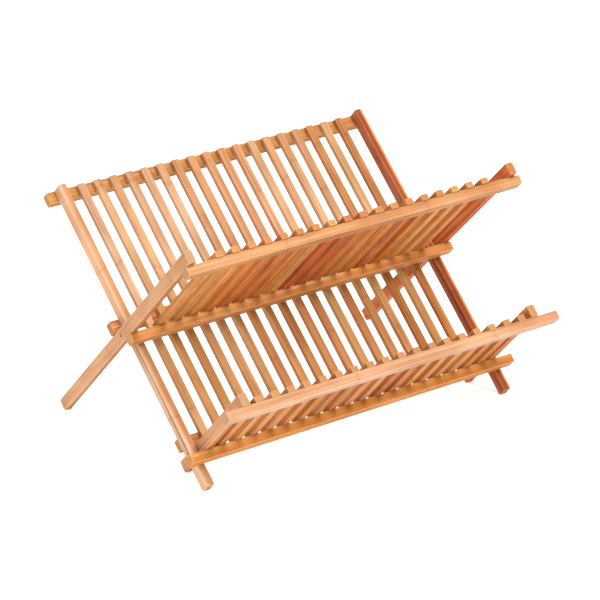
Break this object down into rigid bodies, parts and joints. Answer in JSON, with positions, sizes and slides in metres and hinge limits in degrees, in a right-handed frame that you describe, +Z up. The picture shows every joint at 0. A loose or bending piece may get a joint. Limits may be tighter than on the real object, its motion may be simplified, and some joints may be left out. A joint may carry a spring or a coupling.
{
  "type": "dish drying rack",
  "caption": "Folding slatted dish drying rack: crossed wooden frames hold plates on edge above and cups below, and fold flat about side pins.",
  "frame": {"origin": "bottom centre of the bounding box of the open rack, on the plane its feet stand on", "axes": "+X across the rack to the right as seen from the front, +Y to the back, +Z up; the front of the rack faces -Y"},
  "size_m": [0.4484, 0.3712, 0.2807],
  "materials": {
    "back_strips": "satin",
    "back_slats": "satin",
    "upper_strips": "satin",
    "upper_slats": "satin",
    "lower_strips": "satin",
    "lower_slats": "satin",
    "steel_pin": "brushed"
  },
  "bodies": {
    "back_frame": {"back_left_rail": "back_strips", "back_right_rail": "back_strips", "back_top_bar": "back_strips", "back_middle_bar": "back_strips", "back_lower_bar": "back_strips", "upper_pivot_pins": "steel_pin", "lower_pivot_pins": "steel_pin", "back_slat_01": "back_slats", "back_slat_02": "back_slats", "back_slat_03": "back_slats", "back_slat_04": "back_slats", "back_slat_05": "back_slats", "back_slat_06": "back_slats", "back_slat_07": "back_slats", "back_slat_08": "back_slats", "back_slat_09": "back_slats", "back_slat_10": "back_slats", "back_slat_11": "back_slats", "back_slat_12": "back_slats", "back_slat_13": "back_slats", "back_slat_14": "back_slats", "back_slat_15": "back_slats", "back_slat_16": "back_slats", "back_slat_17": "back_slats", "back_slat_18": "back_slats"},
    "upper_rack": {"upper_left_leg": "upper_strips", "upper_right_leg": "upper_strips", "upper_top_rail": "upper_strips", "upper_seat_rail": "upper_strips", "upper_slat_01": "upper_slats", "upper_slat_02": "upper_slats", "upper_slat_03": "upper_slats", "upper_slat_04": "upper_slats", "upper_slat_05": "upper_slats", "upper_slat_06": "upper_slats", "upper_slat_07": "upper_slats", "upper_slat_08": "upper_slats", "upper_slat_09": "upper_slats", "upper_slat_10": "upper_slats", "upper_slat_11": "upper_slats", "upper_slat_12": "upper_slats", "upper_slat_13": "upper_slats", "upper_slat_14": "upper_slats", "upper_slat_15": "upper_slats", "upper_slat_16": "upper_slats", "upper_slat_17": "upper_slats", "upper_slat_18": "upper_slats"},
    "lower_rack": {"lower_left_leg": "lower_strips", "lower_right_leg": "lower_strips", "lower_top_rail": "lower_strips", "lower_seat_rail": "lower_strips", "lower_slat_pair_1": "lower_slats", "lower_slat_pair_2": "lower_slats", "lower_slat_pair_3": "lower_slats", "lower_slat_pair_4": "lower_slats", "lower_slat_pair_5": "lower_slats", "lower_slat_pair_6": "lower_slats", "lower_slat_pair_7": "lower_slats", "lower_slat_pair_8": "lower_slats", "lower_slat_pair_9": "lower_slats"}
  },
  "joints": [
    {"name": "upper_rack_fold", "type": "hinge", "parent": "back_frame", "child": "upper_rack", "pos_m": [0, 0.03269, 0.13855], "axis": [-1, 0, 0], "range_deg": [0, 93.3]},
    {"name": "lower_rack_fold", "type": "hinge", "parent": "back_frame", "child": "lower_rack", "pos_m": [0, -0.08049, 0.03411], "axis": [-1, 0, 0], "range_deg": [0, 91.5]}
  ]
}
